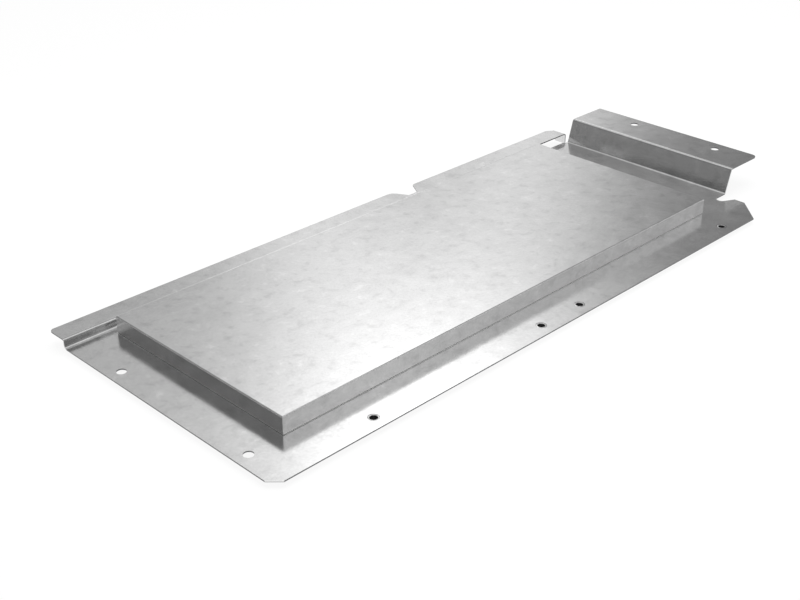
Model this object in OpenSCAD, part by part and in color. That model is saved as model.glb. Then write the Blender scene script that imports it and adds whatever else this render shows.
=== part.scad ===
// Noise suppression panel: a folded base sheet, a shallow box cover on it, an absorber pad inside the
// box and four clinch nuts in the front flange. Millimetres, +Z up, the long side along X.
// The drawing runs from the front left corner of the base sheet's upper face. Each piece is then moved,
// so that the origin lies under the middle of the whole panel, level with the lowest face.

/* [Base sheet] */
// Thickness of the base sheet
sheet_t = 1.5; // [1:0.1:3]
// Width of the flat flange, left edge to right edge
flange_w = 808; // [700:1:1000]
// Depth of the flat flange, front edge to the rear fold
flange_d = 327; // [300:1:420]
// Corner cut at the front left, along each edge
left_corner_cut = 12; // [2:0.5:30]
// Corner cut at the front right, along each edge
right_corner_cut = 34; // [5:0.5:40]

/* [Rear step] */
// Height of the rear strip's upper face over the flange
strip_h = 10; // [8:0.1:14]
// Depth of the step and the strip together, rear fold to the strip's rear edge
strip_d = 30.5; // [29:0.5:120]
// Inside radius of the fold at the foot of the step
step_foot_r = 3; // [1:0.1:3.5]
// Inside radius of the fold at the head of the step
step_head_r = 2; // [0.5:0.1:2.5]
// Length of the slit that frees the strip's right end, in from the flange's right edge
slit_w = 53; // [10:1:64]
// Front edge of the free finger, behind the flange's rear edge
finger_gap = 4.5; // [2:0.1:6]
// Radius of the strip's left corner
strip_left_r = 5; // [1:0.1:12]

/* [Strip end lip] */
// Outer face of the turned down lip, past the flange's right edge
lip_reach = 11.2; // [8:0.1:20]
// Height of the lip, strip's upper face to the lip's lower edge
lip_h = 15; // [10:0.5:18]
// Inside radius of the lip's fold
lip_r = 2.5; // [0.5:0.1:4]
// Corner cut at the strip's right end, along X
lip_cut_x = 13.2; // [6:0.1:18]
// Corner cut at the strip's right end, along Y
lip_cut_y = 9; // [4:0.1:14]

/* [Rear edge notch] */
// Middle of the notch, from the left edge
notch_x = 515.1; // [100:0.1:680]
// Width of the notch's straight bottom
notch_w = 15; // [8:0.1:30]
// Depth of the notch
notch_depth = 20.5; // [10:0.1:21]
// Slant of the notch's sides
notch_slant = 30; // [10:1:45]
// Radius of the notch's mouth on the left
notch_left_r = 13; // [2:0.1:16]
// Radius of the notch's mouth on the right
notch_right_r = 5.5; // [2:0.1:16]

/* [Right bracket] */
// Front side of the bracket, from the front edge
bracket_y = 67.2; // [60:0.1:90]
// Rear side of the bracket, in from the flange's rear fold
bracket_rear_gap = 2.7; // [0.5:0.1:15]
// Where the bracket's fold starts, past the flange's right edge
bracket_fold_x = 5.8; // [3:0.1:15]
// Height of the bracket's upper face over the flange
bracket_h = 31.8; // [20:0.1:60]
// Slope of the bracket's wall: how far it runs outward over the rise below
bracket_lean_run = 7; // [0:0.5:14]
// Slope of the bracket's wall: the rise
bracket_lean_rise = 24; // [20:0.5:40]
// Inside radius of the bracket's two folds
bracket_r = 2; // [0.5:0.1:3.5]
// End of the bracket, past the flange's right edge
bracket_reach = 78.4; // [60:0.1:110]
// Radius of the bracket's front corner
bracket_front_r = 7.5; // [1:0.1:9]
// Radius of the bracket's rear corner
bracket_rear_r = 1.5; // [0.5:0.1:9]

/* [Relief cut beside the bracket] */
// Radius of the cut's round end
relief_r = 6.2; // [3:0.1:9]
// Middle of the round end, in from the flange's right edge
relief_inset = 11; // [8:0.1:16]
// Slant of the cut's front side
relief_slant = 27.7; // [0:0.1:45]

/* [Mounting holes] */
// Diameter of the left flange's two holes
left_hole_d = 10.8; // [6:0.1:14]
// Their distance from the left edge
left_hole_x = 15.1; // [12:0.1:40]
// First left hole, from the front edge
left_hole_y = 52.5; // [30:0.1:90]
// Spacing of the left holes
left_hole_gap = 198.5; // [100:0.1:205]
// Diameter of the bracket's two holes
bracket_hole_d = 10.8; // [6:0.1:14]
// Their distance from the bracket's end
bracket_hole_inset = 17.7; // [12:0.1:30]
// First bracket hole, from the front edge
bracket_hole_y = 121; // [108:0.1:125]
// Spacing of the bracket holes
bracket_hole_gap = 130; // [60:0.1:130]

/* [Box cover] */
// Thickness of the cover sheet
cover_t = 1; // [0.8:0.1:2]
// Left wall of the cover, from the left edge
cover_x = 56; // [40:0.5:80]
// Right wall of the cover, in from the flange's right edge
cover_right_gap = 66.5; // [45:0.5:100]
// Front wall of the cover, from the front edge
cover_y = 53; // [40:0.5:80]
// Rear wall of the cover, in from the flange's rear fold
cover_rear_gap = 9; // [2:0.5:40]
// Height of the cover's upper face over the flange
cover_h = 20; // [12:0.5:60]
// Inside radius of the cover's folds
cover_r = 0.3; // [0.2:0.1:3]
// Width of the foot turned in under the cover's walls
cover_foot_w = 14; // [8:0.5:25]

/* [Absorber pad] */
// Gap between the pad and the cover's walls
pad_gap = 0.5; // [0.2:0.1:3]

/* [Clinch nuts] */
// Nut axes, from the front edge
nut_y = 16; // [13:0.1:24]
// First nut, from the left edge
nut_1_x = 135; // [60:0.5:250]
// Second nut, from the left edge
nut_2_x = 380.5; // [270:0.5:410]
// Third nut, from the left edge
nut_3_x = 445.5; // [427:0.5:560]
// Fourth nut, in from the flange's right edge
nut_4_inset = 81.5; // [66:0.5:110]
// Diameter of the nut's head under the sheet
nut_head_d = 15; // [13.5:0.1:16]
// Height of the nut's head under the sheet
nut_head_h = 5.5; // [4:0.1:10]
// Diameter of the nut's shank in the sheet
nut_shank_d = 12; // [11:0.1:13]
// Diameter of the nut's bore at the thread crests
nut_bore_d = 6.8; // [5:0.1:8.5]
// Diameter of the countersink at each end of the bore
nut_sink_d = 9.4; // [9:0.1:10]
// Bevel round the head's lower rim
nut_bevel = 0.8; // [0.3:0.1:1.5]
// Bevel round the shank's upper rim, which marks the seam in the sheet
nut_seam = 0.3; // [0.1:0.05:0.5]

/* [Hidden] */
$fn = 96;

zinc_colour = [0.74, 0.75, 0.76];
nut_colour = [0.66, 0.67, 0.68];
felt_colour = [0.22, 0.22, 0.23];

// A cutter runs this far past the face it opens
over = 1;

// The whole panel, and the move that puts the origin under its middle
panel_w = flange_w + bracket_reach;
panel_d = flange_d + strip_d;
drop = max(sheet_t + nut_head_h, lip_h - strip_h);
origin_shift = [-panel_w / 2, -panel_d / 2, drop];

// Rear step: end of its wall, wall face, centre of the head fold, front edge of the free finger
step_w = flange_w - slit_w;
step_wall_y = flange_d + step_foot_r;
step_head_y = step_wall_y + sheet_t + step_head_r;
step_head_z = strip_h - sheet_t - step_head_r;
finger_y = flange_d + finger_gap;

// Lip: its outer face, where its fold starts, height of the fold's centre
lip_x = flange_w + lip_reach;
lip_fold_x = lip_x - sheet_t - lip_r;
lip_fold_z = strip_h - sheet_t - lip_r;

// Notch in the rear edge: half widths at the bottom and at the mouth
notch_half = notch_w / 2;
notch_mouth_half = notch_half + notch_depth * tan(notch_slant);

// Bracket: rear side, end, turn of its folds, length of the flat wall, centre of the upper fold
bracket_rear = flange_d - bracket_rear_gap;
bracket_end = flange_w + bracket_reach;
bracket_x = flange_w + bracket_fold_x;
bracket_turn = atan2(bracket_lean_rise, bracket_lean_run);
bracket_offset = 2 * bracket_r + sheet_t;
bracket_rise = bracket_h - bracket_offset;
bracket_wall = (bracket_rise + bracket_offset * cos(bracket_turn)) / sin(bracket_turn);
bracket_head_x = bracket_x + (bracket_offset + bracket_rise * cos(bracket_turn)) / sin(bracket_turn);
bracket_head_z = bracket_h - sheet_t - bracket_r;
bracket_hole_x = bracket_end - bracket_hole_inset;

// Relief cut: middle of its round end, and the point where its front side leaves the round end
relief_x = flange_w - relief_inset;
relief_y = bracket_y - relief_r;
relief_leave_x = relief_x - relief_r * sin(relief_slant);
relief_leave_y = relief_y - relief_r * cos(relief_slant);
relief_edge_y = relief_leave_y - (flange_w - relief_leave_x) * tan(relief_slant);

// Cover: its size and outside fold radius. The pad stands inside the walls and between the turned in feet.
cover_w = flange_w - cover_right_gap - cover_x;
cover_d = flange_d - cover_rear_gap - cover_y;
cover_outer_r = cover_r + cover_t;
pad_inset = cover_t + pad_gap;
pad_foot_inset = cover_foot_w + pad_gap;

// Nut: place of the fourth one, radii of the section and the depth of the countersinks
nut_4_x = flange_w - nut_4_inset;
nut_head_r = nut_head_d / 2;
nut_shank_r = nut_shank_d / 2;
nut_bore_r = nut_bore_d / 2;
nut_sink_r = nut_sink_d / 2;
nut_sink_depth = nut_sink_r - nut_bore_r;

// The moves below turn a flat outline into a fold's section: along_x draws the outline in Y and Z and
// runs it along X, along_y draws it in X and Z and runs it along Y.
module along_x(x0, length) {
    translate([x0, 0, 0])
        rotate([90, 0, 90])
            linear_extrude(length)
                children();
}

module along_y(y0, length) {
    translate([0, y0 + length, 0])
        rotate([90, 0, 0])
            linear_extrude(length)
                children();
}

// Section of a fold and the flat after it. The sheet comes in along +X under the fold's centre, which is
// at the origin, turns up by the angle and goes on straight for the length.
module fold(r_in, turn, length) {
    r_out = r_in + sheet_t;
    far = 2 * r_out;
    intersection() {
        difference() {
            circle(r_out);
            circle(r_in);
        }
        translate([0, -far])
            square([far, 2 * far]);
        rotate(turn)
            translate([-far, -far])
                square([far, 2 * far]);
    }
    rotate(turn)
        translate([0, -r_out])
            square([length, sheet_t]);
}

// A square corner rounded off: the waste between the corner and its arc, the corner at the origin and
// the material towards -X and -Y
module corner_waste(r) {
    difference() {
        translate([-r, -r])
            square(r + over);
        translate([-r, -r])
            circle(r);
    }
}

// Flat flange with its two corner cuts, the root of the bracket and the slanted relief cut
module flange_outline() {
    difference() {
        polygon([
            [left_corner_cut, 0],
            [flange_w - right_corner_cut, 0],
            [flange_w, right_corner_cut],
            [flange_w, relief_edge_y],
            [relief_leave_x, relief_leave_y],
            [relief_x, relief_y],
            [relief_x, bracket_y],
            [bracket_x, bracket_y],
            [bracket_x, bracket_rear],
            [flange_w, bracket_rear],
            [flange_w, flange_d],
            [0, flange_d],
            [0, left_corner_cut],
        ]);
        translate([relief_x, relief_y])
            circle(relief_r);
    }
}

module flange() {
    translate([0, 0, -sheet_t])
        linear_extrude(sheet_t)
            flange_outline();
}

// Section of the rear step, from the foot fold to the head fold
module step_section() {
    translate([flange_d, step_foot_r])
        fold(step_foot_r, 90, step_head_z - step_foot_r);
    translate([step_head_y, step_head_z])
        rotate(180)
            fold(step_head_r, 90, step_head_z - step_foot_r);
}

// One side of the notch's mouth, where the slanted side rounds into the strip's rear edge
module notch_mouth_waste(r) {
    tangent = r * tan((90 - notch_slant) / 2);
    difference() {
        polygon([
            [notch_mouth_half, panel_d + over],
            [notch_mouth_half + tangent, panel_d + over],
            [notch_mouth_half + tangent, panel_d - r],
            [notch_mouth_half - tangent * sin(notch_slant), panel_d - tangent * cos(notch_slant)],
        ]);
        translate([notch_mouth_half + tangent, panel_d - r])
            circle(r);
    }
}

module notch_waste() {
    translate([notch_x, 0]) {
        polygon([
            [-notch_half, panel_d - notch_depth],
            [notch_half, panel_d - notch_depth],
            [notch_mouth_half, panel_d],
            [notch_mouth_half, panel_d + over],
            [-notch_mouth_half, panel_d + over],
            [-notch_mouth_half, panel_d],
        ]);
        notch_mouth_waste(notch_right_r);
        mirror([1, 0])
            notch_mouth_waste(notch_left_r);
    }
}

// Flat of the rear strip. Right of the slit it is a free finger that reaches further forward.
module strip_outline() {
    difference() {
        polygon([
            [0, step_head_y],
            [step_w, step_head_y],
            [step_w, finger_y],
            [lip_fold_x, finger_y],
            [lip_fold_x, panel_d],
            [0, panel_d],
        ]);
        notch_waste();
        translate([0, panel_d])
            mirror([1, 0])
                corner_waste(strip_left_r);
    }
}

module strip() {
    translate([0, 0, strip_h - sheet_t])
        linear_extrude(sheet_t)
            strip_outline();
}

// Section of the lip: its fold and the flat that hangs down past the flange
module lip_section() {
    translate([lip_fold_x, lip_fold_z])
        mirror([0, 1])
            fold(lip_r, 90, lip_fold_z - strip_h + lip_h);
}

// Waste of the cut across the corner of the strip and the lip
module lip_corner_waste() {
    slope = lip_cut_y / lip_cut_x;
    translate([0, 0, strip_h - lip_h - over])
        linear_extrude(lip_h + 2 * over)
            polygon([
                [lip_x - lip_cut_x, panel_d],
                [lip_x + over, panel_d - lip_cut_y - over * slope],
                [lip_x + over, panel_d + over],
                [lip_x - lip_cut_x, panel_d + over],
            ]);
}

// Section of the bracket: the two folds, which share the leaning wall, and the flat seat
module bracket_section() {
    translate([bracket_x, bracket_r])
        fold(bracket_r, bracket_turn, bracket_wall);
    translate([bracket_head_x, bracket_head_z])
        rotate(180)
            fold(bracket_r, bracket_turn, bracket_wall);
    translate([bracket_head_x, bracket_h - sheet_t])
        square([bracket_end - bracket_head_x, sheet_t]);
}

module bracket() {
    difference() {
        along_y(bracket_y, bracket_rear - bracket_y)
            bracket_section();
        translate([bracket_end, bracket_rear, bracket_h / 2])
            linear_extrude(bracket_h)
                corner_waste(bracket_rear_r);
        translate([bracket_end, bracket_y, bracket_h / 2])
            linear_extrude(bracket_h)
                mirror([0, 1])
                    corner_waste(bracket_front_r);
    }
}

// A round cutter through the sheet whose upper face is at height z
module hole(x, y, z, d) {
    translate([x, y, z - sheet_t - over])
        cylinder(d = d, h = sheet_t + 2 * over);
}

module base_panel() {
    color(zinc_colour)
        translate(origin_shift)
            difference() {
                union() {
                    flange();
                    along_x(0, step_w)
                        step_section();
                    strip();
                    along_y(finger_y, panel_d - finger_y)
                        lip_section();
                    bracket();
                }
                lip_corner_waste();
                hole(left_hole_x, left_hole_y, 0, left_hole_d);
                hole(left_hole_x, left_hole_y + left_hole_gap, 0, left_hole_d);
                hole(bracket_hole_x, bracket_hole_y, bracket_h, bracket_hole_d);
                hole(bracket_hole_x, bracket_hole_y + bracket_hole_gap, bracket_h, bracket_hole_d);
                hole(nut_1_x, nut_y, 0, nut_shank_d);
                hole(nut_2_x, nut_y, 0, nut_shank_d);
                hole(nut_3_x, nut_y, 0, nut_shank_d);
                hole(nut_4_x, nut_y, 0, nut_shank_d);
            }
}

// A rectangle with its four corners rounded, its lower left corner at the origin
module rounded_rectangle(w, h, r) {
    translate([r, 0])
        square([w - 2 * r, h]);
    translate([0, r])
        square([w, h - 2 * r]);
    for (x = [r, w - r])
        for (y = [r, h - r])
            translate([x, y])
                circle(r);
}

// A closed box whose edges along the top and the foot are rounded, set in from the cover's outside
module cover_body(inset, r) {
    intersection() {
        along_y(cover_y + inset, cover_d - 2 * inset)
            translate([cover_x + inset, inset])
                rounded_rectangle(cover_w - 2 * inset, cover_h - 2 * inset, r);
        along_x(cover_x + inset, cover_w - 2 * inset)
            translate([cover_y + inset, inset])
                rounded_rectangle(cover_d - 2 * inset, cover_h - 2 * inset, r);
    }
}

module box_cover() {
    color(zinc_colour)
        translate(origin_shift)
            difference() {
                cover_body(0, cover_outer_r);
                cover_body(cover_t, cover_r);
                translate([cover_x + cover_foot_w, cover_y + cover_foot_w, -over])
                    cube([cover_w - 2 * cover_foot_w, cover_d - 2 * cover_foot_w, over + 2 * cover_t]);
            }
}

// A block set in from the cover's outside walls
module pad_block(inset, z0, z1) {
    translate([cover_x + inset, cover_y + inset, z0])
        cube([cover_w - 2 * inset, cover_d - 2 * inset, z1 - z0]);
}

module absorber_pad() {
    color(felt_colour)
        translate(origin_shift) {
            pad_block(pad_inset, cover_t, cover_h - cover_t);
            pad_block(pad_foot_inset, 0, 2 * cover_t);
        }
}

// A nut on its axis: head under the sheet, shank through it and flush with its upper face
module clinch_nut(x) {
    color(nut_colour)
        translate(origin_shift)
            translate([x, nut_y, 0])
                rotate_extrude()
                    polygon([
                        [nut_sink_r, -drop],
                        [nut_head_r - nut_bevel, -drop],
                        [nut_head_r, nut_bevel - drop],
                        [nut_head_r, -sheet_t],
                        [nut_shank_r, -sheet_t],
                        [nut_shank_r, -nut_seam],
                        [nut_shank_r - nut_seam, 0],
                        [nut_sink_r, 0],
                        [nut_bore_r, -nut_sink_depth],
                        [nut_bore_r, nut_sink_depth - drop],
                    ]);
}

base_panel();
box_cover();
absorber_pad();
clinch_nut(nut_1_x);  // clinch_nut_1
clinch_nut(nut_2_x);  // clinch_nut_2
clinch_nut(nut_3_x);  // clinch_nut_3
clinch_nut(nut_4_x);  // clinch_nut_4
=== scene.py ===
"""Dresses an engine noise suppression panel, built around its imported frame."""

import logging
import math
from collections.abc import Sequence
from dataclasses import dataclass, field
from enum import Enum
from itertools import product

import bmesh
import bpy
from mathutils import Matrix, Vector, noise


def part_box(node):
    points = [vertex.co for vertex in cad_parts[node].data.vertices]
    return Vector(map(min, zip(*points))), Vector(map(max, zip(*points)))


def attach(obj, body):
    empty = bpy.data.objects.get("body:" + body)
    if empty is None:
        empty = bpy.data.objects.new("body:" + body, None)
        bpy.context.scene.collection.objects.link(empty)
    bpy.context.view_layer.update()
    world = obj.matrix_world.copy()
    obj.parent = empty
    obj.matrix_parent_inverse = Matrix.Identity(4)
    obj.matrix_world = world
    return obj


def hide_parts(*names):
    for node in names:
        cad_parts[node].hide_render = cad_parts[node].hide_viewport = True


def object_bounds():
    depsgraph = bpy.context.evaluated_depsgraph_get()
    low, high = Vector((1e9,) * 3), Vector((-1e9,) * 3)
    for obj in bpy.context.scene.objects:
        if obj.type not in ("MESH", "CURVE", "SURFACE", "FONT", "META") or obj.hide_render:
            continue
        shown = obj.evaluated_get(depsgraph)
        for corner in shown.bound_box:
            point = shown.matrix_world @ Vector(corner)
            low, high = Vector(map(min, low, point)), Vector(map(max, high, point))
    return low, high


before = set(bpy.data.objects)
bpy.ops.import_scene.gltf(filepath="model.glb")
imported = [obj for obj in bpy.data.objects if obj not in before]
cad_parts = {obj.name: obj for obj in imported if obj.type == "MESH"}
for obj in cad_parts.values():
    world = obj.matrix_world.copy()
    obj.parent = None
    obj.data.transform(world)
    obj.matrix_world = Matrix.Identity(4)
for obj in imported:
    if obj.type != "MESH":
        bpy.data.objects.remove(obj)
cad_low, cad_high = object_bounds()

LOG = logging.getLogger("panel")
ROOT = "root"
MM = 0.001

Profile = list[tuple[float, float]]
Span = tuple[float, float]


class Slot(str, Enum):
    """Names of the record's material slots for the new pieces, which nothing here uses."""

    FELT = "absorber_felt"
    NUT = "zinc_plated_nut"


def linear(code: str) -> tuple[float, float, float, float]:
    """Turns an sRGB hex colour into the linear colour that a shader takes.

    Args:
        code: Six hex digits after a hash sign.

    Returns:
        Red, green, blue and alpha, linear.
    """

    def decode(value: float) -> float:
        """One channel from sRGB to linear."""
        if value <= 0.04045:
            return value / 12.92
        return ((value + 0.055) / 1.055) ** 2.4

    red, green, blue = (int(code[i : i + 2], 16) / 255 for i in (1, 3, 5))
    return decode(red), decode(green), decode(blue), 1.0


def add_node(
    tree: bpy.types.NodeTree,
    kind: str,
    inputs: dict[int | str, object] | None = None,
    **settings: object,
) -> bpy.types.Node:
    """Adds one node, sets its properties and fills or links its inputs.

    Args:
        tree: The node tree that gets the node.
        kind: The node's type name.
        inputs: Socket name or number, to a value or to the socket it is fed by.
        settings: The node's own properties.

    Returns:
        The new node.
    """
    node = tree.nodes.new(kind)
    for name, value in settings.items():
        setattr(node, name, value)
    for key, value in (inputs or {}).items():
        if isinstance(value, bpy.types.NodeSocket):
            tree.links.new(value, node.inputs[key])
        else:
            node.inputs[key].default_value = value
    return node


def new_material(name: str) -> tuple[bpy.types.Material, bpy.types.NodeTree]:
    """Makes a material with an empty node tree.

    Args:
        name: The material's name.

    Returns:
        The material and its tree.
    """
    material = bpy.data.materials.new(name)
    material.use_nodes = True
    material.node_tree.nodes.clear()
    return material, material.node_tree


def dress(piece: bpy.types.Object, *materials: bpy.types.Material) -> None:
    """Gives a piece its materials, one for each slot.

    Args:
        piece: The object, a CAD node or a new piece.
        materials: The materials in slot order.
    """
    while len(piece.material_slots) < len(materials):
        piece.data.materials.append(None)
    for place, material in zip(piece.material_slots, materials):
        place.link = "OBJECT"
        place.material = material


def new_piece(name: str, mesh: bmesh.types.BMesh, crease: float) -> bpy.types.Object:
    """Turns a bmesh into an object, linked to the scene.

    Args:
        name: The piece's name.
        mesh: The shape, in metres in the row frame. It is freed here.
        crease: Edges that turn more than this angle stay sharp, in radians.

    Returns:
        The object, smooth shaded between its creases.
    """
    mesh.normal_update()
    for face in mesh.faces:
        face.smooth = True
    for edge in mesh.edges:
        edge.smooth = len(edge.link_faces) == 2 and edge.calc_face_angle(0.0) < crease
    data = bpy.data.meshes.new(name)
    mesh.to_mesh(data)
    mesh.free()
    piece = bpy.data.objects.new(name, data)
    bpy.context.scene.collection.objects.link(piece)
    return piece


@dataclass(frozen=True)
class Pattern:
    """A mottle: its marks' real size, how many finer ones it has and how strong."""

    size_mm: float
    detail: float
    roughness: float


@dataclass(frozen=True)
class CutBand:
    """Where the upright faces of the sheet are cut edges.

    It has the lowest and highest point, the front and the rear, the left end and the
    least share of the face's normal along Y.
    """

    low: float
    high: float
    front: float
    rear: float
    # The last two let every face through unless they are set.
    left: float = -1.0
    least_y: float = -1.0


@dataclass(frozen=True)
class GalvanisedSheet:
    """Galvanised steel sheet, hot dipped and temper rolled.

    The dip leaves a satin zinc skin with cloudy smudges, and the rolling leaves it
    slightly wavy, so that mirrored edges come out soft and uneven.
    """

    name: str
    zinc: str = "#DADADA"
    smudge: str = "#CCCCCC"
    bloom: str = "#E6E6E6"
    # Cut faces: uncoated steel, darkened further as painted shade.
    cut_steel_and_shade: str = "#6E6E6F"
    # Painted highlight on the clipped corner's edge.
    clipped_highlight: str = "#F0F0F0"
    # Painted light: white laid on the cover's foot fold and round the box's foot.
    painted_light: str = "#FFFFFF"
    # The underside's colour is multiplied by this, as painted shade.
    underside: str = "#C8C8C8"
    roughness: float = 0.175
    clouds: Pattern = Pattern(32.0, 3.0, 0.55)
    smudges: Pattern = Pattern(14.0, 3.0, 0.55)
    # The rolled grain is about 0.3 mm, too fine to show, so it is ten times coarser.
    grain: Pattern = Pattern(3.0, 2.0, 0.6)
    waves: Pattern = Pattern(24.0, 1.0, 0.35)
    wave_height_mm: float = 0.10
    grain_height_mm: float = 0.010
    offset: tuple[float, float, float] = (0.0, 0.0, 0.0)
    # Each span runs from where a mark starts in its pattern to where it is full.
    smudge_span: Span = (0.50, 0.22)
    bloom_span: Span = (0.56, 0.80)
    grain_span: Span = (0.25, 0.75)
    cloud_span: Span = (0.3, 0.7)
    # How far the grain and the clouds change the brightness and the roughness.
    grain_tone: Span = (0.94, 1.04)
    cloud_tone: Span = (0.96, 1.03)
    cloud_roughness: Span = (-0.02, 0.03)
    # The underside starts and is full where the normal's Z falls to these, and it
    # adds this much roughness.
    underside_span: Span = (-0.5, -0.9)
    underside_matt: float = 0.18
    # A cut edge's normal leans up or down by less than this.
    upright: float = 0.12
    cut_bands: tuple[CutBand, ...] = ()
    # Faces with X + Y under this belong to the clipped corner, and -1 means none.
    clipped_corner: float = -1.0
    # The way that the clipped corner's edge faces, and how closely a face must match.
    clipped_way: tuple[float, float, float] = (-math.sqrt(0.5), -math.sqrt(0.5), 0.0)
    clipped_match: float = 0.99
    # The clipped corner's painted highlight starts above this height.
    highlight_floor: float = 0.0
    # Heights of the foot's painted light band, and its strength on front and ends.
    painted_light_band: Span | None = None
    painted_light_front: float = 0.9
    painted_light_ends: float = 0.6
    # Painted light: the X and Y spans round the box's foot that turn white.
    painted_light_area: tuple[Span, Span] | None = None

    def material(self) -> bpy.types.Material:
        """Builds the material.

        Returns:
            The sheet's material, with its patterns in the part's own metres.
        """
        material, tree = new_material(self.name)
        place = add_node(tree, "ShaderNodeTexCoord")
        moved = add_node(
            tree,
            "ShaderNodeVectorMath",
            {0: place.outputs["Object"], 1: self.offset},
            operation="ADD",
        )
        cloud, smudge, grain, wave = (
            add_node(
                tree,
                "ShaderNodeTexNoise",
                {
                    "Vector": moved.outputs[0],
                    "Scale": 1.0 / (pattern.size_mm * MM),
                    "Detail": pattern.detail,
                    "Roughness": pattern.roughness,
                },
            ).outputs["Fac"]
            for pattern in (self.clouds, self.smudges, self.grain, self.waves)
        )
        colour = self.tone(tree, cloud, smudge, grain)
        # Painted light on the cover's foot fold, over the shade in the joint.
        if self.painted_light_band:
            colour = self.paint_light(tree, colour)
        # Painted light round the box's foot.
        if self.painted_light_area:
            colour = self.under_box_light(tree, colour)
        # Cut faces darkened, partly as painted shade, with the clipped corner's painted
        # highlight.
        if self.cut_bands:
            colour = self.cut_edges(tree, colour)
        rough = add_node(
            tree,
            "ShaderNodeMapRange",
            {
                "Value": cloud,
                "From Min": self.cloud_span[0],
                "From Max": self.cloud_span[1],
                "To Min": self.roughness + self.cloud_roughness[0],
                "To Max": self.roughness + self.cloud_roughness[1],
            },
        )
        colour, rough_below = self.below(tree, colour, rough.outputs[0])
        coarse = add_node(
            tree,
            "ShaderNodeBump",
            {"Height": wave, "Strength": 1.0, "Distance": self.wave_height_mm * MM},
        )
        fine = add_node(
            tree,
            "ShaderNodeBump",
            {
                "Height": grain,
                "Strength": 1.0,
                "Distance": self.grain_height_mm * MM,
                "Normal": coarse.outputs[0],
            },
        )
        shader = add_node(
            tree,
            "ShaderNodeBsdfPrincipled",
            {
                "Base Color": colour,
                "Metallic": 1.0,
                "Roughness": rough_below,
                "Normal": fine.outputs[0],
            },
        )
        add_node(
            tree, "ShaderNodeOutputMaterial", {"Surface": shader.outputs["BSDF"]}
        )
        return material

    def tone(
        self,
        tree: bpy.types.NodeTree,
        cloud: bpy.types.NodeSocket,
        smudge: bpy.types.NodeSocket,
        grain: bpy.types.NodeSocket,
    ) -> bpy.types.NodeSocket:
        """Mixes the zinc's colour from its smudges, blooms and grain.

        Args:
            tree: The material's tree.
            cloud: Broad pattern.
            smudge: Pattern of the smudges.
            grain: Fine pattern.

        Returns:
            The colour's socket.
        """
        dark, light = (
            add_node(
                tree,
                "ShaderNodeMapRange",
                {"Value": smudge, "From Min": start, "From Max": full, "To Max": 1.0},
                interpolation_type="SMOOTHSTEP",
            )
            for start, full in (self.smudge_span, self.bloom_span)
        )
        dulled = add_node(
            tree,
            "ShaderNodeMix",
            {0: dark.outputs[0], 6: linear(self.zinc), 7: linear(self.smudge)},
            data_type="RGBA",
        )
        lit = add_node(
            tree,
            "ShaderNodeMix",
            {0: light.outputs[0], 6: dulled.outputs[2], 7: linear(self.bloom)},
            data_type="RGBA",
        )
        speckle, drift = (
            add_node(
                tree,
                "ShaderNodeMapRange",
                {
                    "Value": pattern,
                    "From Min": span[0],
                    "From Max": span[1],
                    "To Min": tone[0],
                    "To Max": tone[1],
                },
            )
            for pattern, span, tone in (
                (grain, self.grain_span, self.grain_tone),
                (cloud, self.cloud_span, self.cloud_tone),
            )
        )
        both = add_node(
            tree,
            "ShaderNodeMath",
            {0: speckle.outputs[0], 1: drift.outputs[0]},
            operation="MULTIPLY",
        )
        grained = add_node(
            tree,
            "ShaderNodeVectorMath",
            {0: lit.outputs[2], "Scale": both.outputs[0]},
            operation="SCALE",
        )
        return grained.outputs[0]

    def cut_edges(
        self, tree: bpy.types.NodeTree, colour: bpy.types.NodeSocket
    ) -> bpy.types.NodeSocket:
        """Darkens the cut faces, as uncoated steel and as painted shade.

        Args:
            tree: The material's tree.
            colour: The colour so far.

        Returns:
            The colour's socket.
        """
        geometry = add_node(tree, "ShaderNodeNewGeometry")
        facing = add_node(
            tree, "ShaderNodeSeparateXYZ", {0: geometry.outputs["True Normal"]}
        )
        place = add_node(
            tree, "ShaderNodeSeparateXYZ", {0: geometry.outputs["Position"]}
        )
        upright = add_node(
            tree,
            "ShaderNodeMath",
            {0: facing.outputs["Z"], 1: 0.0, 2: self.upright},
            operation="COMPARE",
        )
        lengthwise = add_node(
            tree, "ShaderNodeMath", {0: facing.outputs["Y"]}, operation="ABSOLUTE"
        )
        mask: bpy.types.NodeSocket | float = 0.0
        for cut_band in self.cut_bands:
            inside = [
                add_node(
                    tree,
                    "ShaderNodeMath",
                    {0: place.outputs[axis], 1: (low + high) / 2, 2: (high - low) / 2},
                    operation="COMPARE",
                ).outputs[0]
                for axis, low, high in (
                    ("Z", cut_band.low, cut_band.high),
                    ("Y", cut_band.front, cut_band.rear),
                )
            ]
            inside += [
                add_node(
                    tree,
                    "ShaderNodeMath",
                    {0: measured, 1: least},
                    operation="GREATER_THAN",
                ).outputs[0]
                for measured, least in (
                    (place.outputs["X"], cut_band.left),
                    (lengthwise.outputs[0], cut_band.least_y),
                )
            ]
            band = inside[0]
            for part in inside[1:]:
                band = add_node(
                    tree, "ShaderNodeMath", {0: band, 1: part}, operation="MULTIPLY"
                ).outputs[0]
            mask = add_node(
                tree, "ShaderNodeMath", {0: mask, 1: band}, operation="MAXIMUM"
            ).outputs[0]
        cut = add_node(
            tree,
            "ShaderNodeMath",
            {0: upright.outputs[0], 1: mask},
            operation="MULTIPLY",
        )
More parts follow.
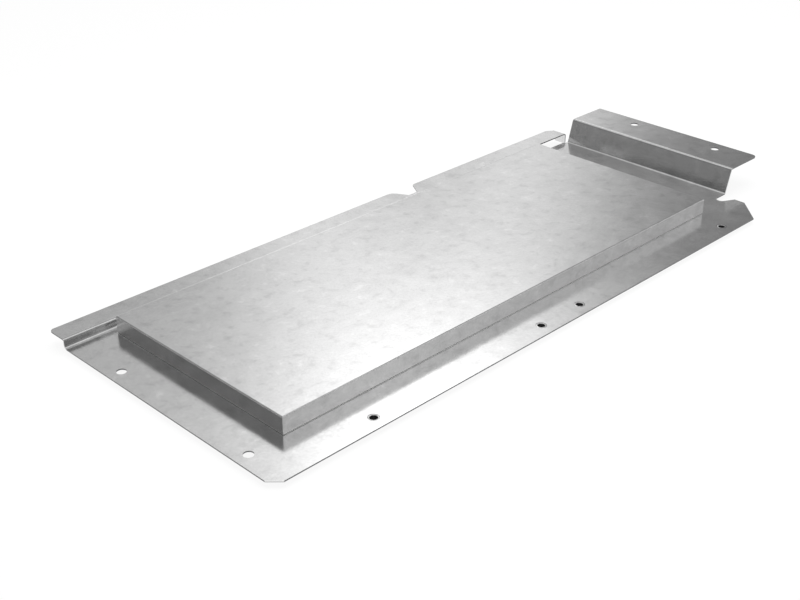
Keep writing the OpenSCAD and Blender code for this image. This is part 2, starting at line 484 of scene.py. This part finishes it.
        # Painted highlight on the clipped corner's edge, picked out by the way it faces.
        corner = add_node(
            tree,
            "ShaderNodeVectorMath",
            {0: geometry.outputs["True Normal"], 1: self.clipped_way},
            operation="DOT_PRODUCT",
        )
        turned = add_node(
            tree,
            "ShaderNodeMath",
            {0: corner.outputs["Value"], 1: self.clipped_match},
            operation="GREATER_THAN",
        )
        across = add_node(
            tree,
            "ShaderNodeMath",
            {0: place.outputs["X"], 1: place.outputs["Y"]},
            operation="ADD",
        )
        near = add_node(
            tree,
            "ShaderNodeMath",
            {0: across.outputs[0], 1: self.clipped_corner},
            operation="LESS_THAN",
        )
        above_highlight_floor = add_node(
            tree,
            "ShaderNodeMath",
            {0: place.outputs["Z"], 1: self.highlight_floor},
            operation="GREATER_THAN",
        )
        highlight_zone = add_node(
            tree,
            "ShaderNodeMath",
            {0: near.outputs[0], 1: above_highlight_floor.outputs[0]},
            operation="MULTIPLY",
        )
        clipped = add_node(
            tree,
            "ShaderNodeMath",
            {0: turned.outputs[0], 1: highlight_zone.outputs[0]},
            operation="MULTIPLY",
        )
        bare_steel_and_painted_light = add_node(
            tree,
            "ShaderNodeMix",
            {
                0: clipped.outputs[0],
                6: linear(self.cut_steel_and_shade),
                7: linear(self.clipped_highlight),
            },
            data_type="RGBA",
        )
        mixed = add_node(
            tree,
            "ShaderNodeMix",
            {0: cut.outputs[0], 6: colour, 7: bare_steel_and_painted_light.outputs[2]},
            data_type="RGBA",
        )
        return mixed.outputs[2]

    def paint_light(
        self, tree: bpy.types.NodeTree, colour: bpy.types.NodeSocket
    ) -> bpy.types.NodeSocket:
        """Paints light on the fold at the foot of the walls, over the shade there.

        Along the end walls the joint then draws no dark line, and along the front a
        thin one.

        Args:
            tree: The material's tree.
            colour: The colour so far.

        Returns:
            The colour's socket.
        """
        low, high = self.painted_light_band
        geometry = add_node(tree, "ShaderNodeNewGeometry")
        place = add_node(
            tree, "ShaderNodeSeparateXYZ", {0: geometry.outputs["Position"]}
        )
        fold = add_node(
            tree,
            "ShaderNodeMapRange",
            {
                "Value": place.outputs["Z"],
                "From Min": high,
                "From Max": low,
                "To Max": 1.0,
            },
        )
        facing = add_node(
            tree, "ShaderNodeSeparateXYZ", {0: geometry.outputs["True Normal"]}
        )
        endwise = add_node(
            tree, "ShaderNodeMath", {0: facing.outputs["X"]}, operation="ABSOLUTE"
        )
        share = add_node(
            tree,
            "ShaderNodeMapRange",
            {
                "Value": endwise.outputs[0],
                "To Min": self.painted_light_front,
                "To Max": self.painted_light_ends,
            },
        )
        shown = add_node(
            tree,
            "ShaderNodeMath",
            {0: fold.outputs[0], 1: share.outputs[0]},
            operation="MULTIPLY",
        )
        mixed = add_node(
            tree,
            "ShaderNodeMix",
            {0: shown.outputs[0], 6: colour, 7: linear(self.painted_light)},
            data_type="RGBA",
        )
        return mixed.outputs[2]

    def under_box_light(
        self, tree: bpy.types.NodeTree, colour: bpy.types.NodeSocket
    ) -> bpy.types.NodeSocket:
        """Paints light on the zinc under the box, so the shade in its joint stays thin.

        It goes by X and Y alone, so the sheet's lower face turns bright there too.

        Args:
            tree: The material's tree.
            colour: The colour so far.

        Returns:
            The colour's socket.
        """
        geometry = add_node(tree, "ShaderNodeNewGeometry")
        place = add_node(
            tree, "ShaderNodeSeparateXYZ", {0: geometry.outputs["Position"]}
        )
        across, along = (
            add_node(
                tree,
                "ShaderNodeMath",
                {0: place.outputs[axis], 1: (low + high) / 2, 2: (high - low) / 2},
                operation="COMPARE",
            ).outputs[0]
            for axis, (low, high) in zip("XY", self.painted_light_area)
        )
        under = add_node(
            tree, "ShaderNodeMath", {0: across, 1: along}, operation="MULTIPLY"
        )
        mixed = add_node(
            tree,
            "ShaderNodeMix",
            {0: under.outputs[0], 6: colour, 7: linear(self.painted_light)},
            data_type="RGBA",
        )
        return mixed.outputs[2]

    def below(
        self,
        tree: bpy.types.NodeTree,
        colour: bpy.types.NodeSocket,
        rough: bpy.types.NodeSocket,
    ) -> tuple[bpy.types.NodeSocket, bpy.types.NodeSocket]:
        """Darkens the underside as painted shade, and makes it rougher.

        Args:
            tree: The material's tree.
            colour: The colour so far.
            rough: The roughness so far.

        Returns:
            The sockets of the colour and the roughness.
        """
        geometry = add_node(tree, "ShaderNodeNewGeometry")
        facing = add_node(
            tree, "ShaderNodeSeparateXYZ", {0: geometry.outputs["True Normal"]}
        )
        down = add_node(
            tree,
            "ShaderNodeMapRange",
            {
                "Value": facing.outputs["Z"],
                "From Min": self.underside_span[0],
                "From Max": self.underside_span[1],
                "To Max": 1.0,
            },
        )
        dull = add_node(
            tree,
            "ShaderNodeMix",
            {0: down.outputs[0], 6: colour, 7: linear(self.underside)},
            data_type="RGBA",
            blend_type="MULTIPLY",
        )
        matt = add_node(
            tree,
            "ShaderNodeMath",
            {0: down.outputs[0], 1: self.underside_matt, 2: rough},
            operation="MULTIPLY_ADD",
        )
        return dull.outputs[2], matt.outputs[0]


@dataclass(frozen=True)
class ZincPlate:
    """Zinc plated steel, machined before plating.

    It shines more than the sheet, with fine turning marks that catch the light.
    """

    name: str
    zinc: str
    dull: str
    roughness: float
    # Turning marks are about 0.05 mm apart, too fine to show, so they are ten times
    # wider.
    mark_mm: float = 0.5
    mark_detail: float = 2.0
    mark_height_mm: float = 0.004
    mark_strength: float = 0.5

    def material(self) -> bpy.types.Material:
        """Builds the material.

        Returns:
            The plating's material.
        """
        material, tree = new_material(self.name)
        place = add_node(tree, "ShaderNodeTexCoord")
        mottle = add_node(
            tree,
            "ShaderNodeTexNoise",
            {
                "Vector": place.outputs["Object"],
                "Scale": 1.0 / (self.mark_mm * MM),
                "Detail": self.mark_detail,
            },
        )
        colour = add_node(
            tree,
            "ShaderNodeMix",
            {0: mottle.outputs["Fac"], 6: linear(self.zinc), 7: linear(self.dull)},
            data_type="RGBA",
        )
        bump = add_node(
            tree,
            "ShaderNodeBump",
            {
                "Height": mottle.outputs["Fac"],
                "Strength": self.mark_strength,
                "Distance": self.mark_height_mm * MM,
            },
        )
        shader = add_node(
            tree,
            "ShaderNodeBsdfPrincipled",
            {
                "Base Color": colour.outputs[2],
                "Metallic": 1.0,
                "Roughness": self.roughness,
                "Normal": bump.outputs[0],
            },
        )
        add_node(
            tree, "ShaderNodeOutputMaterial", {"Surface": shader.outputs["BSDF"]}
        )
        return material


@dataclass(frozen=True)
class NeedleFelt:
    """Needle punched felt of recycled fibres.

    It is matt and dark, with pale fibres among the grey and a soft sheen at its edge.
    """

    name: str
    dark: str = "#3C3C3E"
    pale: str = "#77777A"
    # Fibres are about 0.04 mm thick, too fine to show, so clumps of them are drawn.
    fibre_mm: float = 1.4
    fibre_detail: float = 4.0
    fibre_curl: float = 1.5
    # The needling lays the fibres along Y, so the pattern is longer that way.
    lay: tuple[float, float, float] = (1.0, 0.3, 1.0)
    nap_mm: float = 0.4
    nap_strength: float = 0.8
    roughness: float = 0.95
    sheen: float = 0.3

    def material(self) -> bpy.types.Material:
        """Builds the material.

        Returns:
            The felt's material.
        """
        material, tree = new_material(self.name)
        place = add_node(tree, "ShaderNodeTexCoord")
        stretched = add_node(
            tree,
            "ShaderNodeMapping",
            {"Vector": place.outputs["Object"], "Scale": self.lay},
        )
        fibres = add_node(
            tree,
            "ShaderNodeTexNoise",
            {
                "Vector": stretched.outputs[0],
                "Scale": 1.0 / (self.fibre_mm * MM),
                "Detail": self.fibre_detail,
                "Distortion": self.fibre_curl,
            },
        )
        colour = add_node(
            tree,
            "ShaderNodeMix",
            {0: fibres.outputs["Fac"], 6: linear(self.dark), 7: linear(self.pale)},
            data_type="RGBA",
        )
        bump = add_node(
            tree,
            "ShaderNodeBump",
            {
                "Height": fibres.outputs["Fac"],
                "Strength": self.nap_strength,
                "Distance": self.nap_mm * MM,
            },
        )
        shader = add_node(
            tree,
            "ShaderNodeBsdfPrincipled",
            {
                "Base Color": colour.outputs[2],
                "Roughness": self.roughness,
                "Sheen Weight": self.sheen,
                "Normal": bump.outputs[0],
            },
        )
        add_node(
            tree, "ShaderNodeOutputMaterial", {"Surface": shader.outputs["BSDF"]}
        )
        return material


@dataclass
class BasePanel:
    """The folded base sheet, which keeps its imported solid."""

    node: str = "base_panel"
    thickness: float = 1.5 * MM
    step: float = 10.0 * MM
    flange_depth: float = 327.2 * MM
    corner_cut: float = 12.0 * MM
    # The clipped corner's edge gets a painted highlight above this height.
    highlight_start: float = 0.55 * MM
    # The painted light under the box reaches this far past its front and rear, and
    # stops this far short of its ends.
    under_box_light: float = 0.3 * MM
    bare_end: float = 2.0 * MM
    # The lip's cut edge starts here, is this high and faces front at least so far.
    lip_left: float = 790.0 * MM
    lip_height: float = 15.0 * MM
    lip_facing: float = 0.9
    margin: float = 1.0 * MM

    def build(self) -> bpy.types.Object:
        """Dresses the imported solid.

        Returns:
            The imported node.
        """
        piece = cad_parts[self.node]
        low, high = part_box(self.node)
        flange_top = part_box("clinch_nut_1")[1].z
        flange_rear = low.y + self.flange_depth
        strip_top = flange_top + self.step
        front, rear = low.y - self.margin, high.y + self.margin
        box_low, box_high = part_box("box_cover")
        # Dipped and rolled zinc: a clouded satin mirror, grey, with soft reflections.
        finish = GalvanisedSheet(
            name="Galvanised steel, temper rolled",
            clipped_corner=low.x + low.y + 2 * self.corner_cut,
            highlight_floor=flange_top - self.thickness + self.highlight_start,
            painted_light_area=(
                (box_low.x + self.bare_end, box_high.x - self.bare_end),
                (box_low.y - self.under_box_light, box_high.y + self.under_box_light),
            ),
            cut_bands=(
                CutBand(flange_top - self.thickness, flange_top, front, flange_rear),
                CutBand(strip_top - self.thickness, strip_top, flange_rear, rear),
                CutBand(
                    strip_top - self.lip_height,
                    strip_top,
                    flange_rear,
                    rear,
                    left=low.x + self.lip_left,
                    least_y=self.lip_facing,
                ),
                CutBand(high.z - self.thickness, high.z, front, rear),
            ),
        )
        dress(piece, finish.material())
        return piece


@dataclass
class BoxCover:
    """The shallow box on the base sheet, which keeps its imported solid."""

    node: str = "box_cover"
    fold_radius: float = 1.3 * MM
    # The band of painted light at the foot, in shares of the fold's radius.
    painted_light: Span = (0.6, 1.2)
    cloud_shift: tuple[float, float, float] = (0.31, 0.17, 0.0)

    def build(self) -> bpy.types.Object:
        """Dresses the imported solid.

        Returns:
            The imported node.
        """
        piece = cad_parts[self.node]
        low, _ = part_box(self.node)
        # The same coil of sheet, with its own clouds and painted light on its foot fold.
        finish = GalvanisedSheet(
            name="Galvanised steel, temper rolled cover",
            offset=self.cloud_shift,
            painted_light_band=(
                low.z + self.painted_light[0] * self.fold_radius,
                low.z + self.painted_light[1] * self.fold_radius,
            ),
        )
        dress(piece, finish.material())
        return piece


@dataclass
class ClinchNut:
    """A clinch nut, pressed into the front flange with its shank flush."""

    node: str
    rim_radius: float = 4.4 * MM
    bead_radius: float = 4.9 * MM
    bead_height: float = 0.06 * MM
    shank_radius: float = 6.0 * MM
    seam: float = 0.45 * MM
    head_radius: float = 7.5 * MM
    head_bevel: float = 0.8 * MM
    sheet: float = 1.5 * MM
    thread_root: float = 4.0 * MM
    thread_crest: float = 3.4 * MM
    pitch: float = 1.25 * MM
    columns: int = 72
    rows_per_pitch: int = 8
    # The outline's stretches that are the dark seam round the shank.
    seam_rings: tuple[int, ...] = (5, 6)
    crease: float = math.radians(28)

    def outline(self, low: float, high: float) -> Profile:
        """Lists the turned outside, from the upper rim round to the lower rim.

        Args:
            low: Height of the underside.
            high: Height of the flush upper face.

        Returns:
            Pairs of radius and height.
        """
        shoulder = high - self.sheet
        face = high - self.bead_height
        # The bead is a shallow arch that drops a third as far inside as outside.
        bead_top = (self.rim_radius + self.bead_radius) / 2
        bead_side = (bead_top + self.bead_radius) / 2
        return [
            (self.rim_radius, high - self.bead_height / 3),
            ((self.rim_radius + bead_top) / 2, high - self.bead_height / 12),
            (bead_top, high),
            (bead_side, high - self.bead_height / 4),
            (self.bead_radius, face),
            (self.shank_radius - self.seam, face),
            (self.shank_radius - self.seam / 2, face - self.seam),
            (self.shank_radius, face - self.seam),
            (self.shank_radius, shoulder),
            (self.head_radius - self.seam, shoulder),
            (self.head_radius, shoulder - self.seam),
            (self.head_radius, low + self.head_bevel),
            (self.head_radius - self.head_bevel, low),
            (self.rim_radius, low),
        ]

    def thread(self, height: float, turn: float, low: float, high: float) -> float:
        """Gives the bore's radius on the thread's flank.

        Args:
            height: Height in the bore.
            turn: Share of a full turn, from 0 to 1.
            low: Where the thread starts.
            high: Where the thread ends.

        Returns:
            The radius there.
        """
        phase = (height / self.pitch - turn) % 1.0
        ridge = 1.0 - abs(2.0 * phase - 1.0)
        run_out = min(1.0, (height - low) / self.pitch, (high - height) / self.pitch)
        depth = self.thread_root - self.thread_crest
        return self.thread_root - depth * ridge * max(0.0, run_out)

    def build(self) -> bpy.types.Object:
        """Turns the nut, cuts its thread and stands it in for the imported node.

        Returns:
            The new piece.
        """
        low_corner, high_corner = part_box(self.node)
        centre = (low_corner + high_corner) / 2
        low, high = low_corner.z, high_corner.z
        sink = self.rim_radius - self.thread_root
        start, end = low + sink, high - sink
        rows = round((end - start) / self.pitch * self.rows_per_pitch)
        mesh = bmesh.new()
        rings = []
        outline = self.outline(low, high)
        for radius, height in outline:
            rings.append(self.ring(mesh, centre, [radius] * self.columns, height))
        for row in range(rows + 1):
            height = start + (end - start) * row / rows
            radii = [
                self.thread(height, column / self.columns, start, end)
                for column in range(self.columns)
            ]
            rings.append(self.ring(mesh, centre, radii, height))
        bore_from = len(outline) - 1
        for index, ring in enumerate(rings):
            other = rings[(index + 1) % len(rings)]
            for column in range(self.columns):
                after = (column + 1) % self.columns
                face = mesh.faces.new(
                    (ring[column], other[column], other[after], ring[after])
                )
                # Thread faces take the painted shade, seam faces the dark joint colour.
                in_thread = bore_from < index < len(rings) - 1
                in_seam = index in self.seam_rings
                face.material_index = 1 if in_thread or in_seam else 0
        bmesh.ops.recalc_face_normals(mesh, faces=mesh.faces)
        piece = new_piece(self.node + "_turned", mesh, self.crease)
        # Turned, then plated: brighter and smoother than the sheet, so it glints.
        plate = ZincPlate(
            name="Zinc plated steel, turned",
            zinc="#E6E6E6",
            dull="#D6D6D6",
            roughness=0.18,
        )
        # The bore is painted near black as its shade; the seam is a dark joint.
        bore = ZincPlate(
            name="Zinc plated steel, painted bore shade and dark seam",
            zinc="#3A3A3B",
            dull="#242425",
            roughness=0.35,
        )
        dress(piece, plate.material(), bore.material())
        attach(piece, ROOT)
        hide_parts(self.node)
        return piece

    @staticmethod
    def ring(
        mesh: bmesh.types.BMesh,
        centre: Vector,
        radii: Sequence[float],
        height: float,
    ) -> list[bmesh.types.BMVert]:
        """Adds one ring of points round the nut's axis.

        Args:
            mesh: The nut's mesh.
            centre: A point on the axis.
            radii: The radius at each column.
            height: The ring's height.

        Returns:
            The ring's points.
        """
        count = len(radii)
        angles = [math.tau * column / count for column in range(count)]
        points = (
            (
                centre.x + radius * math.cos(angle),
                centre.y + radius * math.sin(angle),
                height,
            )
            for radius, angle in zip(radii, angles)
        )
        return [mesh.verts.new(point) for point in points]


@dataclass
class FeltPad:
    """The sound absorbing pad that fills the box, sealed in and out of sight."""

    node: str = "absorber_pad"
    rounding: float = 3.0 * MM
    cell: float = 12.0 * MM
    crown: float = 0.4 * MM
    fill: float = 0.6
    # Felt has no sharp edge, so none stays creased.
    crease: float = math.pi

    def build(self) -> bpy.types.Object:
        """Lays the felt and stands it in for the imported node.

        Returns:
            The new piece.
        """
        low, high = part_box(self.node)
        size, centre = high - low, (high + low) / 2
        counts = [max(2, round(length / self.cell)) for length in size]
        mesh = bmesh.new()
        points: dict[tuple[int, int, int], bmesh.types.BMVert] = {}

        def corner(steps: tuple[int, int, int]) -> bmesh.types.BMVert:
            """The point at these grid steps, made once."""
            if steps not in points:
                share = [2 * step / count - 1 for step, count in zip(steps, counts)]
                points[steps] = mesh.verts.new(self.soften(Vector(share), size, centre))
            return points[steps]

        for axis in range(3):
            first, second = (axis + 1) % 3, (axis + 2) % 3
            sides, rows = (0, counts[axis]), range(counts[first])
            for side, row, column in product(sides, rows, range(counts[second])):
                loop = []
                for over, up in ((0, 0), (1, 0), (1, 1), (0, 1)):
                    steps = [0, 0, 0]
                    steps[axis] = side
                    steps[first], steps[second] = row + over, column + up
                    loop.append(corner(tuple(steps)))
                mesh.faces.new(loop if side else loop[::-1])
        piece = new_piece("felt_pad", mesh, self.crease)
        # Needle punched fibres: a matt, dark, speckled grey that takes up all gloss.
        dress(piece, NeedleFelt("Needle punched felt").material())
        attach(piece, ROOT)
        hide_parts(self.node)
        return piece

    def soften(self, share: Vector, size: Vector, centre: Vector) -> Vector:
        """Rounds the slab's edges and lets its faces swell unevenly.

        Args:
            share: The point's place, from -1 to 1 on each axis.
            size: The slab's full size.
            centre: The slab's middle.

        Returns:
            The point in the row frame, never outside the slab.
        """
        half = size / 2
        place = Vector(part * length for part, length in zip(share, half))
        core = Vector(
            max(-length + self.rounding, min(length - self.rounding, value))
            for value, length in zip(place, half)
        )
        out = place - core
        if out.length > 0:
            place = core + out.normalized() * self.rounding
        dip = self.crown * (0.5 + 0.5 * noise.noise(place / self.cell))
        place.z -= math.copysign(dip, place.z) if abs(place.z) > half.z / 2 else 0.0
        return centre + place


@dataclass(frozen=True)
class Glow:
    """A soft patch of light in the studio, seen from the panel, in degrees."""

    azimuth: float
    elevation: float
    half_width: float
    half_height: float
    strength: float


@dataclass
class Studio:
    """White paper, soft light and the camera."""

    camera_place: tuple[float, float, float] = (-0.9887, -0.87715, 0.667)
    camera_forward: tuple[float, float, float] = (0.62185, 0.62101, -0.47712)
    lens: float = 56.99
    sensor: float = 36.0
    paper: str = "#FAFAFA"
    # The share of plain white that the camera sees in the paper, and then what glossy
    # rays see: white near the panel, darker further out, as a lit table is.
    paper_share: float = 0.9
    near_share: float = 0.92
    far_share: float = 0.15
    near_radius: float = 0.55
    far_radius: float = 1.1
    paper_radius: float = 20.0
    paper_sides: int = 96
    drop: float = 0.3 * MM
    lamp_size: Span = (1.8, 1.3)
    lamp_power: float = 24.0
    lamp_place: tuple[float, float, float] = (0.2, 0.1, 1.6)
    clip: Span = (0.01, 100.0)
    ambient: float = 0.22
    # Each glow stands where the sheet mirrors it at the photograph's angle, as bright
    # as the sheet looks there. The last four light the sides that it doesn't show.
    glows: list[Glow] = field(
        default_factory=lambda: [
            Glow(44.3, 36.0, 4.6, 5.0, 2.60),
            Glow(39.0, 5.0, 3.2, 18.0, 1.30),
            Glow(49.5, 24.2, 3.2, 3.6, 0.85),
            Glow(61.0, 34.4, 4.2, 6.0, 0.42),
            Glow(15.0, 22.0, 30.0, 24.0, 0.08),
            Glow(57.0, 28.0, 6.0, 12.0, 0.14),
            Glow(-48.5, 33.0, 3.4, 12.0, 1.02),
            Glow(-41.0, 29.0, 6.0, 10.0, 0.60),
            Glow(-28.0, 25.0, 6.0, 9.0, 0.62),
            Glow(-135.0, 30.0, 16.0, 20.0, 0.80),
            Glow(-30.0, 58.0, 6.0, 5.0, 1.30),
            Glow(150.0, 6.0, 14.0, 12.0, 0.08),
            Glow(110.0, 60.0, 12.0, 10.0, 0.75),
            Glow(0.0, 90.0, 16.0, 16.0, 1.40),
            Glow(-4.0, 16.0, 12.0, 10.0, 0.35),
            Glow(88.0, 20.0, 12.0, 14.0, 0.32),
            Glow(-95.0, 22.0, 12.0, 16.0, 0.40),
            Glow(195.0, 20.0, 16.0, 14.0, 0.45),
        ]
    )

    def build(self) -> None:
        """Sets up the floor, the lights and the camera."""
        self.lay_floor()
        self.light_world()
        self.hang_lamp()
        self.place_camera()

    @staticmethod
    def seen_directly(tree: bpy.types.NodeTree) -> bpy.types.NodeSocket:
        """Tells camera and transmission rays, which see plain white, from the rest.

        Args:
            tree: The tree that asks.

        Returns:
            A socket that is 1 for those rays and 0 for all others.
        """
        path = add_node(tree, "ShaderNodeLightPath")
        direct = add_node(
            tree,
            "ShaderNodeMath",
            {0: path.outputs["Is Camera Ray"], 1: path.outputs["Is Transmission Ray"]},
            operation="MAXIMUM",
        )
        return direct.outputs[0]

    def seen_white(self, tree: bpy.types.NodeTree) -> bpy.types.NodeSocket:
        """Gives the share of plain white in the paper, by the kind of ray.

        Args:
            tree: The tree that asks.

        Returns:
            A socket that is one share for camera and transmission rays, falls with
            the distance for glossy rays, and is 0 for all others, which light the
            paper and keep its shadow.
        """
        path = add_node(tree, "ShaderNodeLightPath")
        seen = add_node(
            tree,
            "ShaderNodeMath",
            {0: self.seen_directly(tree), 1: self.paper_share},
            operation="MULTIPLY",
        )
        geometry = add_node(tree, "ShaderNodeNewGeometry")
        reach = add_node(
            tree,
            "ShaderNodeVectorMath",
            {0: geometry.outputs["Position"]},
            operation="LENGTH",
        )
        pool = add_node(
            tree,
            "ShaderNodeMapRange",
            {
                "Value": reach.outputs["Value"],
                "From Min": self.near_radius,
                "From Max": self.far_radius,
                "To Min": self.near_share,
                "To Max": self.far_share,
            },
            interpolation_type="SMOOTHSTEP",
        )
        mirrored = add_node(
            tree,
            "ShaderNodeMath",
            {0: path.outputs["Is Glossy Ray"], 1: pool.outputs[0]},
            operation="MULTIPLY",
        )
        most = add_node(
            tree,
            "ShaderNodeMath",
            {0: seen.outputs[0], 1: mirrored.outputs[0]},
            operation="MAXIMUM",
        )
        return most.outputs[0]

    def lay_floor(self) -> None:
        """Lays the white paper, which keeps the shadow and is clear from below."""
        mesh = bmesh.new()
        bmesh.ops.create_circle(
            mesh, cap_ends=True, segments=self.paper_sides, radius=self.paper_radius
        )
        data = bpy.data.meshes.new("paper")
        mesh.to_mesh(data)
        mesh.free()
        floor = bpy.data.objects.new("paper", data)
        floor.location.z = cad_low.z - self.drop
        bpy.context.scene.collection.objects.link(floor)
        material, tree = new_material("White paper, matt")
        matt = add_node(tree, "ShaderNodeBsdfDiffuse", {"Color": linear(self.paper)})
        white = add_node(tree, "ShaderNodeEmission", {"Strength": 1.0})
        lit = add_node(
            tree,
            "ShaderNodeMixShader",
            {0: self.seen_white(tree), 1: matt.outputs[0], 2: white.outputs[0]},
        )
        side = add_node(tree, "ShaderNodeNewGeometry")
        clear = add_node(tree, "ShaderNodeBsdfTransparent")
        sided = add_node(
            tree,
            "ShaderNodeMixShader",
            {0: side.outputs["Backfacing"], 1: lit.outputs[0], 2: clear.outputs[0]},
        )
        add_node(tree, "ShaderNodeOutputMaterial", {"Surface": sided.outputs[0]})
        floor.data.materials.append(material)

    def light_world(self) -> None:
        """Fills the studio with dim light and its soft glows."""
        world = bpy.data.worlds.new("Studio")
        bpy.context.scene.world = world
        world.use_nodes = True
        tree = world.node_tree
        tree.nodes.clear()
        way = add_node(tree, "ShaderNodeTexCoord")
        light: bpy.types.NodeSocket | float = self.ambient
        for glow in self.glows:
            light = self.add_glow(tree, way.outputs["Generated"], glow, light)
        # Plain white is seen directly. The zinc is a mirror, so its grey tones are this
        # studio: metal sees the glows and the dim room here, and the white paper below.
        seen = add_node(
            tree,
            "ShaderNodeMix",
            {0: self.seen_directly(tree), 2: light, 3: 1.0},
            data_type="FLOAT",
        )
        back = add_node(tree, "ShaderNodeBackground", {"Strength": seen.outputs[0]})
        add_node(tree, "ShaderNodeOutputWorld", {"Surface": back.outputs[0]})

    @staticmethod
    def add_glow(
        tree: bpy.types.NodeTree,
        way: bpy.types.NodeSocket,
        glow: Glow,
        light: bpy.types.NodeSocket | float,
    ) -> bpy.types.NodeSocket:
        """Adds one soft patch to the studio's light.

        Args:
            tree: The world's tree.
            way: The direction looked in.
            glow: The patch.
            light: The light so far.

        Returns:
            The light with the patch added.
        """
        turned = add_node(
            tree,
            "ShaderNodeMapping",
            {
                "Vector": way,
                "Rotation": (
                    0.0,
                    -math.radians(glow.elevation),
                    math.radians(glow.azimuth),
                ),
                "Scale": (
                    1.0,
                    math.sin(math.radians(glow.half_width)),
                    math.sin(math.radians(glow.half_height)),
                ),
            },
            vector_type="TEXTURE",
        )
        flat = add_node(
            tree,
            "ShaderNodeVectorMath",
            {0: turned.outputs[0], 1: (0.0, 1.0, 1.0)},
            operation="MULTIPLY",
        )
        away = add_node(
            tree,
            "ShaderNodeVectorMath",
            {0: flat.outputs[0], 1: flat.outputs[0]},
            operation="DOT_PRODUCT",
        )
        # A bell curve: the light falls as e to minus half the squared distance.
        halved = add_node(
            tree,
            "ShaderNodeMath",
            {0: away.outputs["Value"], 1: -0.5},
            operation="MULTIPLY",
        )
        soft = add_node(
            tree, "ShaderNodeMath", {0: halved.outputs[0]}, operation="EXPONENT"
        )
        parts = add_node(tree, "ShaderNodeSeparateXYZ", {0: turned.outputs[0]})
        ahead = add_node(
            tree,
            "ShaderNodeMath",
            {0: parts.outputs["X"], 1: 0.0},
            operation="GREATER_THAN",
        )
        patch = add_node(
            tree,
            "ShaderNodeMath",
            {0: soft.outputs[0], 1: ahead.outputs[0]},
            operation="MULTIPLY",
        )
        total = add_node(
            tree,
            "ShaderNodeMath",
            {0: patch.outputs[0], 1: glow.strength, 2: light},
            operation="MULTIPLY_ADD",
        )
        return total.outputs[0]

    def hang_lamp(self) -> None:
        """Hangs one big soft box overhead."""
        lamp = bpy.data.lights.new("softbox", "AREA")
        lamp.shape = "RECTANGLE"
        lamp.size, lamp.size_y = self.lamp_size
        lamp.energy = self.lamp_power
        box = bpy.data.objects.new("softbox", lamp)
        box.location = self.lamp_place
        box.visible_glossy = False
        bpy.context.scene.collection.objects.link(box)

    def place_camera(self) -> None:
        """Places the camera where the photograph was taken from."""
        data = bpy.data.cameras.new("camera")
        data.lens = self.lens
        data.sensor_width = self.sensor
        data.sensor_fit = "HORIZONTAL"
        data.clip_start, data.clip_end = self.clip
        camera = bpy.data.objects.new("camera", data)
        camera.location = self.camera_place
        ahead = Vector(self.camera_forward).normalized()
        camera.rotation_euler = ahead.to_track_quat("-Z", "Y").to_euler()
        bpy.context.scene.collection.objects.link(camera)
        bpy.context.scene.camera = camera


def main() -> None:
    """Builds and dresses each piece in turn."""
    logging.basicConfig(level=logging.INFO, format="%(name)s: %(message)s")
    Studio().build()
    bpy.context.scene.view_settings.view_transform = "Standard"
    parts = [
        BasePanel(),
        BoxCover(),
        FeltPad(),
        *(ClinchNut(f"clinch_nut_{number}") for number in range(1, 5)),
    ]
    for part in parts:
        piece = part.build()
        LOG.info("%s: %d faces", piece.name, len(piece.data.polygons))


if __name__ == "__main__":
    main()
